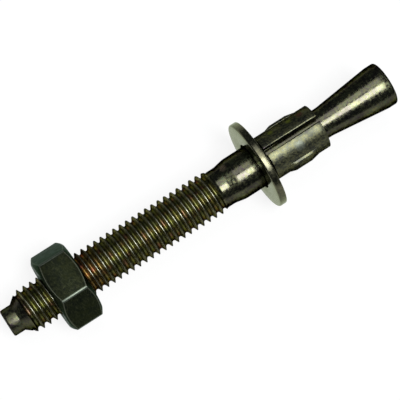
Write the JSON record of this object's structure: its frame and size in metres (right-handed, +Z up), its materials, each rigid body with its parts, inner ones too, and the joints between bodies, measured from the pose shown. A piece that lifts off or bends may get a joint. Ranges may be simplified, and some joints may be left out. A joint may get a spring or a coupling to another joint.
{
  "type": "wedge expansion anchor",
  "caption": "Threaded steel stud with a hex nut, a flat washer and a split expansion clip held on its neck in front of a cone, lying on its side.",
  "frame": {"origin": "centre of the flat end of the stud's threaded tip", "axes": "+X along the stud's axis from the threaded tip to the cone, +Z up through the middle of the clip's seam and square to one flat of the nut, +Y to the left when looking along +X"},
  "size_m": [0.075, 0.0159, 0.0158],
  "materials": {
    "stud": "yellow chromated zinc on rolled and turned steel",
    "nut": "satin yellow chromated zinc",
    "washer": "yellow chromated zinc on stamped steel",
    "clip": "matt yellow chromated zinc on rolled strip"
  },
  "bodies": {
    "clip": {"clip": "clip"},
    "stud": {"stud": "stud"},
    "nut": {"nut": "nut"},
    "washer": {"washer": "washer"}
  },
  "joints": [
    {"name": "stud_turn", "type": "hinge", "parent": "clip", "child": "stud", "pos_m": [0.03, 0, 0], "axis": [1, 0, 0], "range_deg": [-7205, 2165]},
    {"name": "nut_travel", "type": "slide", "parent": "clip", "child": "nut", "axis": [1, 0, 0], "range_m": [-0.0075, 0.025]},
    {"name": "washer_slide", "type": "slide", "parent": "clip", "child": "washer", "axis": [1, 0, 0], "range_m": [-0.0085, 0.0009]}
  ],
  "couplings": [
    {"joint": "stud_turn", "follows": "nut_travel", "rad_per_m": -5026.5}
  ]
}
